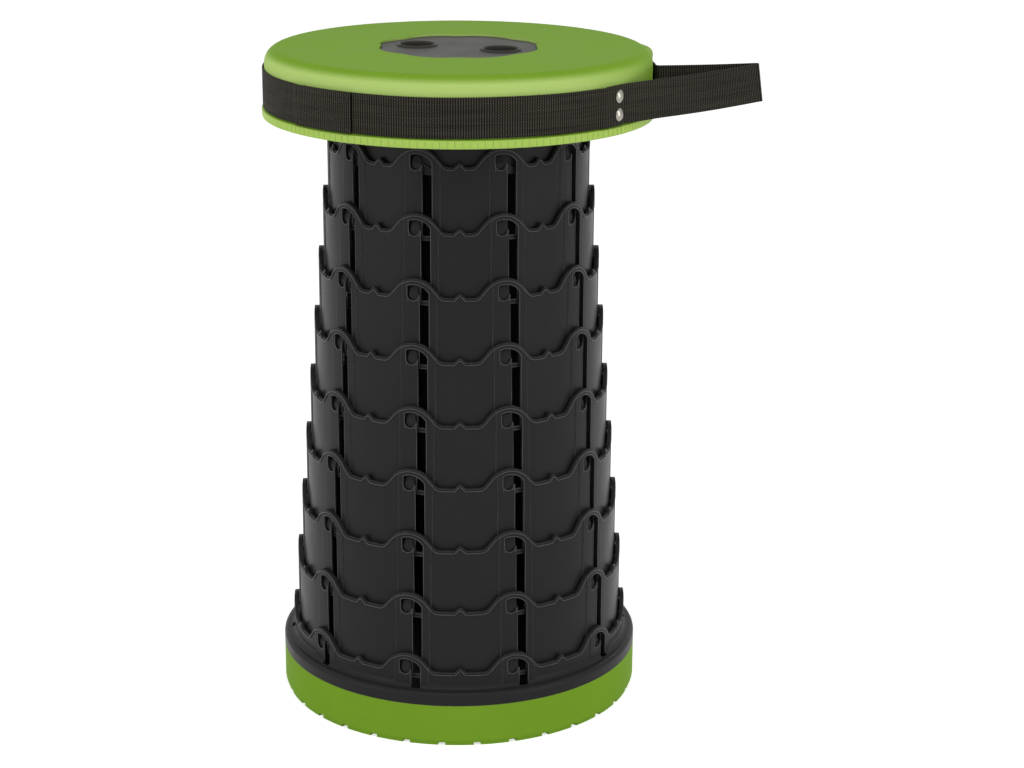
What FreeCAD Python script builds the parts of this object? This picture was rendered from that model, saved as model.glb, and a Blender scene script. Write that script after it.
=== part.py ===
"""Collapsible telescopic stool: ten nested sleeves that lock open with pins in J-shaped slots.

Millimetres. +Z is up, the origin is the middle of the ring that the base stands on, and the front is -Y.
Every angle round the stool is counted from the front, towards +X.
The stool is modelled at its full height, with each sleeve standing on the pins of the next one in.
"""
import FreeCAD, Part
import math
import os

from FreeCAD import Vector

# Sleeves
SLEEVE_COUNT = 10
SLOT_COUNT = 10
PATTERN_TURN = 0.3        # the first bump stands this many degrees past the front
OUTER_SLEEVE_RADIUS = 116.5
SLEEVE_WALL = 2.2
SLEEVE_GAP = 1.44         # between one sleeve's inside and the outside of the next
STAGE_RISE = 42.0         # height that each sleeve adds
SLEEVE_OVERLAP = 18.1     # the inner sleeve's lower edge lies this far below the outer one's arches
FIRST_ARCH_TOP = 61.8

# Scalloped upper edge: an arch over each slot, with a small pointed bump halfway between two arches
ARCH_HEIGHT = 12.3
ARCH_RADIUS = 16.0
ARCH_SLOPE = 50.0         # degrees, where the round top runs into its straight flank
ARCH_FOOT_RADIUS = 6.0
BUMP_HALF_WIDTH = 3.6
BUMP_HEIGHT = 3.6
BUMP_TIP_RADIUS = 1.2
SEAM_OFFSET = 3.4         # degrees from the middle of a bump to the seams of the round faces
BAND_LEFT = 8.4           # raised band round a slot, measured from the middle of its arch
BAND_RIGHT = 15.0
BAND_RELIEF = 0.5

# J-shaped slot and the pin that locks in its pocket
SLOT_LEFT = 3.4
SLOT_WIDTH = 6.6
SLOT_LEDGE = 2.4          # wall left below the slot
ARCH_RIM = 4.2
POCKET_DEPTH = 15.3       # from the arch top to the lowest point of the pocket
PIN_OFFSET = -0.9         # from the middle of the arch
PIN_WIDTH = 6.0
PIN_HEIGHT = 8.8
PIN_TIP_WIDTH = 3.8
PIN_TIP_HEIGHT = 2.0
PIN_SLOPE_HEIGHT = 4.4    # the upper part of the pin's face slopes back
PIN_TOP_STAND = 1.2       # and its top stands out of its own sleeve by this much
PIN_CLEARANCE = 0.3       # below the pin in its pocket
PIN_SIDE_CLEARANCE = 1.0  # on each side of the pin in its pocket
PIN_FACE_CLEARANCE = 0.35
CHANNEL_DEPTH = 1.7       # hidden relief inside a sleeve, along which a pin slides down
COLLAR_HEIGHT = 2.4
COLLAR_CLEARANCE = 0.35
RAMP_HEIGHT = 8.2         # ramp beside the pin, above the lower edge of its sleeve
RAMP_REACH = 12.0         # from the middle of the arch to the foot of the ramp

# Base
BASE_FLARE = 7.9          # the base reaches this far beyond the outermost sleeve
BASE_WALL = 2.5
BASE_FLOOR = 2.5
SLEEVE_FLOOR = 1.3        # floor of the outermost sleeve, which lies on the floor of the cover
BASE_CORNER = 3.0
BASE_COVER_TOP = 29.0
TREAD_HEIGHT = 1.5
TREAD_COUNT = 32
TREAD_GAP = 5.0
TREAD_WIDTH = 3.2
FOOT_RING_RADIUS = 94.0
FOOT_RING_WIDTH = 4.0
LIP_HEIGHT = 9.0          # top of the lip above the base cover
LIP_WALL = 2.2
LIP_EDGE_RADIUS = 3.0
LIP_FILLET = 4.0
TONGUE_DEPTH = 6.0        # the lip's spigot goes this far down inside the base cover
TONGUE_WALL = 1.8
BOSS_RADIUS = 2.3
BASE_SCREW_RADIUS = 1.2
BASE_SCREW_LENGTH = 12.0
BASE_SCREW_HEAD_RADIUS = 2.3
BASE_SCREW_HEAD_HEIGHT = 1.4

# Seat
SEAT_TOP_RISE = 10.2      # top of the seat above the arches of the inmost stage
SEAT_OVERHANG = 4.4       # the seat's side goes down round the base by this much
SEAT_WALL = 2.5
SHOULDER_RADIUS = 10.0
RIM_FLARE = 1.8
RIM_DEPTH = 39.2          # top of the rim below the top of the seat
RIM_HEIGHT = 5.1
RIM_SLOPE_HEIGHT = 1.0
UNDERSIDE_CLEARANCE = 0.6  # seat ribs above the arches of the sleeves when the stool is folded
RIB_COUNT = 12
RIB_WALL = 1.6
SPIGOT_WALL = 2.1
SEAT_BOSS_RADIUS = 4.0
SEAT_SCREW_INSET = 9.5    # from the inside of the inmost sleeve
SEAT_SCREW_COUNT = 6
SEAT_SCREW_RADIUS = 1.6
SEAT_SCREW_LENGTH = 9.0
SEAT_SCREW_HEAD_RADIUS = 3.4
SEAT_SCREW_HEAD_HEIGHT = 2.0
FLANGE_WIDTH = 15.5
FLANGE_THICKNESS = 2.5
FLANGE_DEPTH = 7.0        # flange top below the top edge of the inmost sleeve

# Finger plate
PLATE_RADIUS = 54.0
PLATE_LOBES = 8
PLATE_NOTCH = 3.0
PLATE_NOTCH_ANGLE = 8.0
PLATE_THICKNESS = 2.1
PLATE_SINK = 1.3
PLATE_GAP = 0.6
RECESS_FLOOR = 2.2
HOLE_RADIUS = 11.0
HOLE_SPACING = 59.0
HOLE_AXIS_TURN = -20.0
LIP_RADIUS = 14.0
LIP_RISE = 1.2
HOLE_TUBE_WALL = 2.0
HOLE_TUBE_LENGTH = 7.7
POST_RADIUS = 2.6
POST_CIRCLE = 44.0
POST_ANGLE = 50.0
PLATE_SCREW_RADIUS = 1.2
PLATE_SCREW_HEAD_RADIUS = 3.8
PLATE_SCREW_HEAD_HEIGHT = 1.5
PLATE_SCREW_LENGTH = 3.6

# Webbing strap, its sewn overlap, its rivets and the lug that keeps its end
STRAP_WIDTH = 25.5
STRAP_THICKNESS = 1.2
STRAP_RISE = 1.2          # lower edge of the webbing above the rim
STRAP_FRONT_START = -49.0
STRAP_FRONT_STEP = 41.5   # beyond here the front strap rises over the start of the carrying loop
STRAP_FRONT_END = 52.6
STRAP_REAR_START = -30.5
STRAP_REAR_STEP = -55.0   # beyond here the rear strap lies on the seat instead of on the front strap
STRAP_STEP = 3.0          # degrees in which a strap rises from the seat onto the layer below it
STRAP_END_REACH = 3.0     # degrees that a hidden end runs on under or past what holds it
HANDLE_START = 46.0
HANDLE_LEAVES = 53.8
HANDLE_RETURN = 91.0
HANDLE_REACH = 71.2       # from the seat's side to the fold of the carrying loop
HANDLE_FOLD_SIDE = 4.0    # the fold lies this far behind the middle of the seat
HANDLE_FOLD_RADIUS = 1.6
RIVET_ANGLE = 50.6
RIVET_SPACING = 11.6
RIVET_CAP_RADIUS = 4.15
RIVET_CAP_HEIGHT = 1.6
RIVET_SHANK_RADIUS = 1.4
RIVET_TAIL_RADIUS = 2.2
RIVET_TAIL_HEIGHT = 0.6
WASHER_RADIUS = 3.6
WASHER_THICKNESS = 0.8
KEEPER_ANGLE = 106.0
KEEPER_WIDTH = 12.0
KEEPER_WALL = 3.4
KEEPER_DEPTH = 5.0        # top of the keeper below the top of the seat
KEEPER_FOOT = 3.0

# Clearances between pieces of one body, and between a folded sleeve and the floor of the base
FIT_GAP = 0.2
HOLE_CLEARANCE = 0.1
FLOOR_CLEARANCE = 0.3

SECTOR = 360.0 / SLOT_COUNT
SLEEVE_HEIGHT = STAGE_RISE + SLEEVE_OVERLAP
PIN_POCKET_RADIUS = PIN_WIDTH / 2 + PIN_SIDE_CLEARANCE
PIN_LOWEST = PIN_CLEARANCE - POCKET_DEPTH  # from the arch top of the outer sleeve
FLOOR_TOP = TREAD_HEIGHT + BASE_FLOOR
SLEEVE_FLOOR_TOP = FLOOR_TOP + FIT_GAP + SLEEVE_FLOOR
LAST = SLEEVE_COUNT - 1
BASE_RADIUS = OUTER_SLEEVE_RADIUS + BASE_FLARE
LIP_TOP = BASE_COVER_TOP + LIP_HEIGHT
SEAT_RADIUS = BASE_RADIUS + SEAT_OVERHANG
SEAT_TOP = FIRST_ARCH_TOP + LAST * STAGE_RISE + SEAT_TOP_RISE
RIM_RADIUS = SEAT_RADIUS + RIM_FLARE
RIM_TOP = SEAT_TOP - RIM_DEPTH
RIM_BOTTOM = RIM_TOP - RIM_HEIGHT
STRAP_BOTTOM = RIM_TOP + STRAP_RISE
STRAP_TOP = STRAP_BOTTOM + STRAP_WIDTH
KEEPER_TOP = SEAT_TOP - KEEPER_DEPTH
STRAP_LAYER_1 = SEAT_RADIUS + FIT_GAP
STRAP_LAYER_2 = STRAP_LAYER_1 + STRAP_THICKNESS + FIT_GAP
BOSS_CIRCLE = OUTER_SLEEVE_RADIUS + BOSS_RADIUS - 0.2
SEAT_INNER_TOP = SEAT_TOP - SEAT_WALL
RECESS_TOP = SEAT_TOP - PLATE_SINK - PLATE_THICKNESS - FIT_GAP


def sleeve_radius(index):
    return OUTER_SLEEVE_RADIUS - index * (SLEEVE_WALL + SLEEVE_GAP)


def sleeve_inside(index):
    return sleeve_radius(index) - SLEEVE_WALL


def arch_top(index):
    return FIRST_ARCH_TOP + index * STAGE_RISE


def sleeve_bottom(index):
    """The outermost sleeve stands on the floor of the base, and the others hang from their pins."""
    if index == 0:
        return FLOOR_TOP + FIT_GAP
    return arch_top(index) - SLEEVE_HEIGHT


def sleeve_travel(index):
    """How far a sleeve sinks into the next one out, until both stand just above the floor of the base."""
    if index == 1:
        return sleeve_bottom(1) - SLEEVE_FLOOR_TOP - FLOOR_CLEARANCE
    return STAGE_RISE


def upright(across, up):
    return Vector(across, 0, up)


def flat(x, y):
    return Vector(x, y, 0)


def outline(place, start, steps):
    """Closed face. A step of two numbers is a straight line, and one of four is an arc through its first two."""
    edges = []
    here = place(*start)
    for step in steps + [start]:
        there = place(*step[-2:])
        if len(step) == 4:
            edges.append(Part.Arc(here, place(*step[:2]), there).toShape())
        elif here.distanceToPoint(there) > 1e-6:
            edges.append(Part.LineSegment(here, there).toShape())
        here = there
    return Part.Face(Part.Wire(edges))


def outward_prism(face, height, inner, outer):
    """The face, lifted to a height and pushed out at the front from one radius to another."""
    placed = face.translated(Vector(0, -inner, height))
    return placed.extrude(Vector(0, inner - outer, 0))


def revolved(start, steps):
    """Solid of revolution, turned so that its seam lies in the plain wall beside a bump of the sleeves."""
    solid = outline(upright, start, steps).revolve(Vector(0, 0, 0), Vector(0, 0, 1), 360)
    return turned(solid, PATTERN_TURN + SECTOR + SEAM_OFFSET - 90)


def ring(inner, outer, bottom, top):
    return revolved((inner, bottom), [(outer, bottom), (outer, top), (inner, top)])


def column(radius, bottom, top, at=(0, 0)):
    return Part.makeCylinder(radius, top - bottom, Vector(at[0], at[1], bottom))


def turned(shape, angle):
    return shape.rotated(Vector(0, 0, 0), Vector(0, 0, 1), angle)


def around(shape, count, first):
    return [turned(shape, first + number * 360.0 / count) for number in range(count)]


def on_circle(radius, angle):
    """Point in plan, with the angle counted from the front towards +X."""
    return radius * math.sin(math.radians(angle)), -radius * math.cos(math.radians(angle))


def circle_points(radius, count, first):
    return [on_circle(radius, first + number * 360.0 / count) for number in range(count)]


def fused(first, others):
    return first.multiFuse(others).removeSplitter()


def arch_face(depth):
    """Arch outline with its top at height 0, its flanks and feet, and a block of the given depth below it."""
    slope = math.radians(ARCH_SLOPE)
    top_x = ARCH_RADIUS * math.sin(slope)
    top_z = ARCH_RADIUS * (math.cos(slope) - 1)
    corner_x = top_x + (ARCH_HEIGHT + top_z) / math.tan(slope)
    tangent = ARCH_FOOT_RADIUS * math.tan(slope / 2)
    bend_x = corner_x - tangent * math.cos(slope)
    bend_z = -ARCH_HEIGHT + tangent * math.sin(slope)
    foot_x = corner_x + tangent
    middle_x = foot_x - ARCH_FOOT_RADIUS * math.sin(slope / 2)
    middle_z = -ARCH_HEIGHT + ARCH_FOOT_RADIUS * (1 - math.cos(slope / 2))
    return outline(
        upright,
        (-foot_x, -depth),
        [
            (foot_x, -depth),
            (foot_x, -ARCH_HEIGHT),
            (middle_x, middle_z, bend_x, bend_z),
            (top_x, top_z),
            (0, 0, -top_x, top_z),
            (-bend_x, bend_z),
            (-middle_x, middle_z, -foot_x, -ARCH_HEIGHT),
        ],
    )


def bump_face(depth):
    """Pointed bump with a rounded tip, whose foot is at height 0."""
    side = math.atan2(BUMP_HEIGHT, BUMP_HALF_WIDTH)
    tip_x = BUMP_TIP_RADIUS * math.sin(side)
    tip_z = BUMP_HEIGHT * (1 - tip_x / BUMP_HALF_WIDTH)
    crown = tip_z + BUMP_TIP_RADIUS * (1 - math.cos(side))
    return outline(
        upright,
        (-BUMP_HALF_WIDTH, -depth),
        [
            (BUMP_HALF_WIDTH, -depth),
            (BUMP_HALF_WIDTH, 0),
            (tip_x, tip_z),
            (0, crown, -tip_x, tip_z),
            (-BUMP_HALF_WIDTH, 0),
        ],
    )


def slot_face(slot_depth):
    """The opening: a pocket on the left that the pin locks in, and the long slot on the right."""
    slot_right = SLOT_LEFT + SLOT_WIDTH
    pocket_left = PIN_OFFSET - PIN_POCKET_RADIUS
    pocket_right = PIN_OFFSET + PIN_POCKET_RADIUS
    pocket_level = PIN_POCKET_RADIUS - POCKET_DEPTH
    rim_radius = ARCH_RADIUS - ARCH_RIM

    def rim_height(x):
        return math.sqrt(rim_radius ** 2 - x ** 2) - ARCH_RADIUS

    return outline(
        upright,
        (SLOT_LEFT, -slot_depth),
        [
            (slot_right, -slot_depth),
            (slot_right, rim_height(slot_right)),
            (0, -ARCH_RIM, pocket_left, rim_height(pocket_left)),
            (pocket_left, pocket_level),
            (PIN_OFFSET, -POCKET_DEPTH, pocket_right, pocket_level),
            (SLOT_LEFT, pocket_level),
        ],
    )


def pin_face():
    """Pin outline seen from outside, with the top of the outer sleeve's arch at height 0."""
    half = PIN_WIDTH / 2
    tip_half = PIN_TIP_WIDTH / 2
    round_level = PIN_LOWEST + half
    top = PIN_LOWEST + PIN_HEIGHT
    return outline(
        upright,
        (PIN_OFFSET - half, round_level),
        [
            (PIN_OFFSET, PIN_LOWEST, PIN_OFFSET + half, round_level),
            (PIN_OFFSET + half, top - PIN_TIP_HEIGHT),
            (PIN_OFFSET + tip_half, top),
            (PIN_OFFSET - tip_half, top),
            (PIN_OFFSET - half, top - PIN_TIP_HEIGHT),
        ],
    )


def channel_cutter(index):
    """Relief inside a sleeve from the pocket down, closed outside by a thin skin left of the slot."""
    inside = sleeve_inside(index)
    left = PIN_OFFSET - PIN_POCKET_RADIUS
    top = arch_top(index) - POCKET_DEPTH + PIN_POCKET_RADIUS
    bottom = arch_top(index) + PIN_LOWEST - sleeve_travel(index + 1) - PIN_CLEARANCE
    face = outline(upright, (left, bottom), [(SLOT_LEFT, bottom), (SLOT_LEFT, top), (left, top)])
    reach = outward_prism(face, 0, inside - SLEEVE_WALL, inside + SLEEVE_WALL)
    depth = ring(inside - SLEEVE_WALL, inside + CHANNEL_DEPTH, bottom, top)
    return reach.common(depth)


def scalloped_parts(index):
    """Arch, raised band and bump of one sector of a sleeve, in the order that they are fused."""
    outside = sleeve_radius(index)
    inside = sleeve_inside(index)
    top = arch_top(index)
    valley = top - ARCH_HEIGHT
    bottom = sleeve_bottom(index)
    arch = outward_prism(arch_face(ARCH_HEIGHT + SLEEVE_WALL), top, inside / 2, outside + SLEEVE_WALL)
    arch = arch.common(ring(inside, outside, valley - SLEEVE_WALL, top))
    bump = outward_prism(bump_face(SLEEVE_WALL), valley, inside / 2, outside + SLEEVE_WALL)
    bump = bump.common(ring(inside, outside, valley - SLEEVE_WALL, top))
    tall_arch = outward_prism(arch_face(top - bottom), top, inside / 2, outside + SLEEVE_WALL)
    strip = outline(upright, (-BAND_LEFT, bottom), [(BAND_RIGHT, bottom), (BAND_RIGHT, top), (-BAND_LEFT, top)])
    strip = outward_prism(strip, 0, inside / 2, outside + SLEEVE_WALL)
    band = ring(inside + SLEEVE_WALL / 2, outside + BAND_RELIEF, bottom, top)
    band = band.common(strip).common(tall_arch)
    return arch, band, bump


def sleeve_pin(index):
    """Pin that stands out of a sleeve into the pocket of the next one out."""
    outer = index - 1
    root = sleeve_radius(index) - SLEEVE_WALL / 2
    face_radius = sleeve_inside(outer) + CHANNEL_DEPTH - PIN_FACE_CLEARANCE
    top = arch_top(outer) + PIN_LOWEST + PIN_HEIGHT
    block = outward_prism(pin_face(), arch_top(outer), sleeve_radius(index) / 2, face_radius + SLEEVE_WALL)
    shell = revolved(
        (root, sleeve_bottom(index)),
        [
            (face_radius, sleeve_bottom(index)),
            (face_radius, top - PIN_SLOPE_HEIGHT),
            (sleeve_radius(index) + PIN_TOP_STAND, top),
            (root, top),
        ],
    )
    return block.common(shell)


def collar(index):
    """Guide ring round the lower edge of an inner sleeve."""
    outer = sleeve_inside(index - 1) - COLLAR_CLEARANCE
    bottom = sleeve_bottom(index)
    return ring(sleeve_inside(index) + SLEEVE_WALL / 2, outer, bottom, bottom + COLLAR_HEIGHT)


def pin_ramp(index):
    """Ramp that falls from the pin's right side to the collar and shows in the slot of the next sleeve out."""
    outer = sleeve_inside(index - 1) - COLLAR_CLEARANCE
    bottom = sleeve_bottom(index)
    face = outline(
        upright,
        (PIN_OFFSET, bottom),
        [
            (RAMP_REACH, bottom),
            (RAMP_REACH, bottom + COLLAR_HEIGHT),
            (PIN_OFFSET + PIN_WIDTH / 2, bottom + RAMP_HEIGHT),
            (PIN_OFFSET, bottom + RAMP_HEIGHT),
        ],
    )
    reach = outward_prism(face, 0, outer / 2, outer + SLEEVE_WALL)
    return reach.common(ring(sleeve_inside(index) + SLEEVE_WALL / 2, outer, bottom, bottom + RAMP_HEIGHT))


def first_arch_angle():
    return PATTERN_TURN + SECTOR / 2


def slotted_sleeve(index, additions):
    """A sleeve with arches, bands, bumps and J-shaped slots, fused with what else it carries."""
    top = arch_top(index)
    bottom = sleeve_bottom(index)
    tube = ring(sleeve_inside(index), sleeve_radius(index), bottom, top - ARCH_HEIGHT)
    arch, band, bump = scalloped_parts(index)
    added = around(arch, SLOT_COUNT, first_arch_angle())
    added += around(band, SLOT_COUNT, first_arch_angle())
    added += around(bump, SLOT_COUNT, PATTERN_TURN)
    body = fused(tube, added + additions)
    slot = slot_face(top - bottom - SLOT_LEDGE)
    slot = outward_prism(slot, top, sleeve_inside(index) / 2, sleeve_radius(index) + SLEEVE_WALL)
    cutters = around(slot, SLOT_COUNT, first_arch_angle())
    cutters += around(channel_cutter(index), SLOT_COUNT, first_arch_angle())
    return body.cut(cutters)


def moving_parts(index):
    parts = around(sleeve_pin(index), SLOT_COUNT, first_arch_angle())
    return parts + around(pin_ramp(index), SLOT_COUNT, first_arch_angle()) + [collar(index)]


def inner_sleeve(index):
    return slotted_sleeve(index, moving_parts(index))


def base_lip():
    """Flared shoulder of the outermost sleeve, which closes the base cover and centres itself in it."""
    bottom = BASE_COVER_TOP + FIT_GAP
    wall = OUTER_SLEEVE_RADIUS - SLEEVE_WALL / 2
    edge = BASE_RADIUS - LIP_EDGE_RADIUS
    fillet = OUTER_SLEEVE_RADIUS + LIP_FILLET
    under = LIP_TOP - LIP_WALL
    tongue_outside = BASE_RADIUS - BASE_WALL - FIT_GAP
    tongue_inside = tongue_outside - TONGUE_WALL
    corner = math.sqrt(0.5)
    return revolved(
        (wall, under),
        [
            (tongue_inside, under),
            (tongue_inside, BASE_COVER_TOP - TONGUE_DEPTH),
            (tongue_outside, BASE_COVER_TOP - TONGUE_DEPTH),
            (tongue_outside, bottom),
            (BASE_RADIUS, bottom),
            (BASE_RADIUS, LIP_TOP - LIP_EDGE_RADIUS),
            (edge + LIP_EDGE_RADIUS * corner, LIP_TOP - LIP_EDGE_RADIUS * (1 - corner), edge, LIP_TOP),
            (fillet, LIP_TOP),
            (
                fillet - LIP_FILLET * corner,
                LIP_TOP + LIP_FILLET * (1 - corner),
                OUTER_SLEEVE_RADIUS,
                LIP_TOP + LIP_FILLET,
            ),
            (wall, LIP_TOP + LIP_FILLET),
        ],
    )


def base_sleeve():
    bottom = sleeve_bottom(0)
    bosses = [column(BOSS_RADIUS, bottom, LIP_TOP - LIP_WALL / 2, at) for at in boss_points()]
    floor = column(OUTER_SLEEVE_RADIUS - SLEEVE_WALL / 2, bottom, SLEEVE_FLOOR_TOP)
    body = slotted_sleeve(0, [base_lip(), floor] + bosses)
    pilot_top = bottom + BASE_SCREW_LENGTH
    pilots = [column(BASE_SCREW_RADIUS + HOLE_CLEARANCE, bottom - 1, pilot_top, at) for at in boss_points()]
    return body.cut(pilots)


def boss_points():
    """Screw places in the base, halfway between the slots."""
    return circle_points(BOSS_CIRCLE, SLOT_COUNT, PATTERN_TURN)


def base_cover():
    """Shallow cup under the stool, with a tread of lugs round its edge."""
    inside = BASE_RADIUS - BASE_WALL
    corner = BASE_RADIUS - BASE_CORNER
    diagonal = BASE_CORNER * math.sqrt(0.5)
    cup = revolved(
        (0, TREAD_HEIGHT),
        [
            (corner, TREAD_HEIGHT),
            (corner + diagonal, TREAD_HEIGHT + BASE_CORNER - diagonal, BASE_RADIUS, TREAD_HEIGHT + BASE_CORNER),
            (BASE_RADIUS, BASE_COVER_TOP),
            (inside, BASE_COVER_TOP),
            (inside, FLOOR_TOP),
            (0, FLOOR_TOP),
        ],
    )
    foot = ring(FOOT_RING_RADIUS - FOOT_RING_WIDTH / 2, FOOT_RING_RADIUS + FOOT_RING_WIDTH / 2, 0, FLOOR_TOP)
    cup = fused(cup, [foot] + tread_lugs())
    return cup.cut(base_screw_holes())


def tread_lugs():
    outer = BASE_RADIUS - BASE_CORNER / 2
    lug_ring = ring(outer - TREAD_WIDTH, outer, 0, TREAD_HEIGHT + BASE_CORNER / 2)
    length = 2 * math.pi * outer / TREAD_COUNT - TREAD_GAP
    window = Part.makeBox(length, BASE_RADIUS / 2, BASE_RADIUS, Vector(-length / 2, -BASE_RADIUS, -1))
    return around(lug_ring.common(window), TREAD_COUNT, 0)


def base_screw_holes():
    seat = TREAD_HEIGHT + BASE_SCREW_HEAD_HEIGHT
    holes = []
    for at in boss_points():
        holes.append(column(BASE_SCREW_HEAD_RADIUS + FIT_GAP, -1, seat, at))
        holes.append(column(BASE_SCREW_RADIUS + FIT_GAP, seat - 1, FLOOR_TOP + 1, at))
    return holes


def screws(points, head_bottom, head_height, head_radius, shank_radius, length):
    """Screws driven upwards, each with its head under its shank."""
    heads = [column(head_radius, head_bottom, head_bottom + head_height, at) for at in points]
    shanks = [column(shank_radius, head_bottom, head_bottom + head_height + length, at) for at in points]
    return Part.makeCompound([head.fuse(shank).removeSplitter() for head, shank in zip(heads, shanks)])


def base_screws():
    return screws(
        boss_points(),
        TREAD_HEIGHT,
        BASE_SCREW_HEAD_HEIGHT - FIT_GAP,
        BASE_SCREW_HEAD_RADIUS,
        BASE_SCREW_RADIUS,
        BASE_SCREW_LENGTH - FIT_GAP,
    )


def flange_top():
    return arch_top(LAST) - FLANGE_DEPTH


def seat_screw_points():
    return circle_points(sleeve_inside(LAST) - SEAT_SCREW_INSET, SEAT_SCREW_COUNT, 0)


def seat_sleeve():
    """Inmost sleeve, with a plain top edge and a flange that the seat is screwed to."""
    inside = sleeve_inside(LAST)
    tube = ring(inside, sleeve_radius(LAST), sleeve_bottom(LAST), arch_top(LAST))
    flange = ring(inside - FLANGE_WIDTH, inside + SLEEVE_WALL / 2, flange_top() - FLANGE_THICKNESS, flange_top())
    body = fused(tube, [flange] + moving_parts(LAST))
    reach = [flange_top() - FLANGE_THICKNESS - 1, flange_top() + 1]
    return body.cut([column(SEAT_SCREW_RADIUS + FIT_GAP, *reach, at) for at in seat_screw_points()])


def plate_face(radius):
    """Round outline with shallow notches between its lobes."""
    pitch = 360.0 / PLATE_LOBES
    shoulder = radius - PLATE_NOTCH / 2
    start = on_circle(shoulder, -PLATE_NOTCH_ANGLE)
    steps = []
    for lobe in range(PLATE_LOBES):
        notch = lobe * pitch
        leaves = on_circle(shoulder, notch + PLATE_NOTCH_ANGLE)
        returns = on_circle(shoulder, notch + pitch - PLATE_NOTCH_ANGLE)
        steps.append(on_circle(radius - PLATE_NOTCH, notch) + leaves)
        steps.append(on_circle(radius, notch + pitch / 2) + returns)
    return outline(flat, start, steps)


def hole_points():
    turn = math.radians(HOLE_AXIS_TURN)
    reach = HOLE_SPACING / 2
    return [(side * reach * math.cos(turn), side * reach * math.sin(turn)) for side in (-1, 1)]


def post_points():
    angles = [POST_ANGLE, 180 - POST_ANGLE, 180 + POST_ANGLE, -POST_ANGLE]
    return [on_circle(POST_CIRCLE, angle + 90 + HOLE_AXIS_TURN) for angle in angles]


def finger_plate():
    """Inset plate with two rolled finger holes, and four posts that hold it from below."""
    top = SEAT_TOP - PLATE_SINK
    bottom = top - PLATE_THICKNESS
    plate = plate_face(PLATE_RADIUS).translated(Vector(0, 0, bottom)).extrude(Vector(0, 0, PLATE_THICKNESS))
    tube_outside = HOLE_RADIUS + HOLE_TUBE_WALL
    rolled = revolved(
        (HOLE_RADIUS, top - HOLE_TUBE_LENGTH),
        [
            (tube_outside, top - HOLE_TUBE_LENGTH),
            (tube_outside, bottom),
            (LIP_RADIUS, bottom),
            (LIP_RADIUS, top),
            ((HOLE_RADIUS + LIP_RADIUS) / 2, top + LIP_RISE, HOLE_RADIUS, top),
        ],
    )
    collars = [rolled.translated(Vector(x, y, 0)) for x, y in hole_points()]
    post_bottom = RECESS_TOP - RECESS_FLOOR
    posts = [column(POST_RADIUS, post_bottom, top - PLATE_THICKNESS / 2, at) for at in post_points()]
    plate = fused(plate, collars + posts)
    pilot_top = post_bottom + PLATE_SCREW_LENGTH
    bores = [column(HOLE_RADIUS, top - HOLE_TUBE_LENGTH - 1, top, at) for at in hole_points()]
    pilots = [column(PLATE_SCREW_RADIUS + HOLE_CLEARANCE, post_bottom - 1, pilot_top, at) for at in post_points()]
    return plate.cut(bores + pilots)


def finger_plate_screws():
    return screws(
        post_points(),
        RECESS_TOP - RECESS_FLOOR - FIT_GAP - PLATE_SCREW_HEAD_HEIGHT,
        PLATE_SCREW_HEAD_HEIGHT,
        PLATE_SCREW_HEAD_RADIUS,
        PLATE_SCREW_RADIUS,
        PLATE_SCREW_LENGTH,
    )


def seat_shell():
    """Round top with a wide shoulder, a straight side that the strap lies on, and a wider rim below."""
    corner = math.sqrt(0.5)
    edge = SEAT_RADIUS - SHOULDER_RADIUS
    level = SEAT_TOP - SHOULDER_RADIUS
    inner_radius = SHOULDER_RADIUS - SEAT_WALL
    side_inside = SEAT_RADIUS - SEAT_WALL
    rim_inside = RIM_RADIUS - SEAT_WALL
    return revolved(
        (0, SEAT_INNER_TOP),
        [
            (edge, SEAT_INNER_TOP),
            (edge + inner_radius * corner, level + inner_radius * corner, side_inside, level),
            (side_inside, RIM_TOP - RIM_SLOPE_HEIGHT),
            (rim_inside, RIM_TOP - 2 * RIM_SLOPE_HEIGHT),
            (rim_inside, RIM_BOTTOM),
            (RIM_RADIUS, RIM_BOTTOM),
            (RIM_RADIUS, RIM_TOP),
            (SEAT_RADIUS, RIM_TOP + RIM_SLOPE_HEIGHT),
            (SEAT_RADIUS, level),
            (edge + SHOULDER_RADIUS * corner, level + SHOULDER_RADIUS * corner, edge, SEAT_TOP),
            (0, SEAT_TOP),
        ],
    )


def keeper_lug():
    """Loop on the side of the seat that the strap ends pass under."""
    strap_outside = STRAP_LAYER_2 + STRAP_THICKNESS + FIT_GAP
    outside = strap_outside + KEEPER_WALL
    inside = SEAT_RADIUS - SEAT_WALL / 2
    foot = STRAP_BOTTOM - FIT_GAP
    head = STRAP_TOP + FIT_GAP
    head_radius = KEEPER_TOP - head
    face = outline(
        flat,
        (-outside, foot - KEEPER_FOOT),
        [
            (-inside, foot - KEEPER_FOOT),
            (-inside, foot),
            (-strap_outside, foot),
            (-strap_outside, head),
            (-inside, head),
            (-inside, head + SHOULDER_RADIUS / 4),
            (-strap_outside, KEEPER_TOP),
            (
                -strap_outside - KEEPER_WALL * math.sqrt(0.5),
                head + head_radius * 0.75,
                -outside,
                head,
            ),
        ],
    )
    face.rotate(Vector(0, 0, 0), Vector(1, 0, 0), 90)
    face.rotate(Vector(0, 0, 0), Vector(0, 0, 1), 90)
    lug = face.translated(Vector(-KEEPER_WIDTH / 2, 0, 0)).extrude(Vector(KEEPER_WIDTH, 0, 0))
    return turned(lug, KEEPER_ANGLE)


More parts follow.
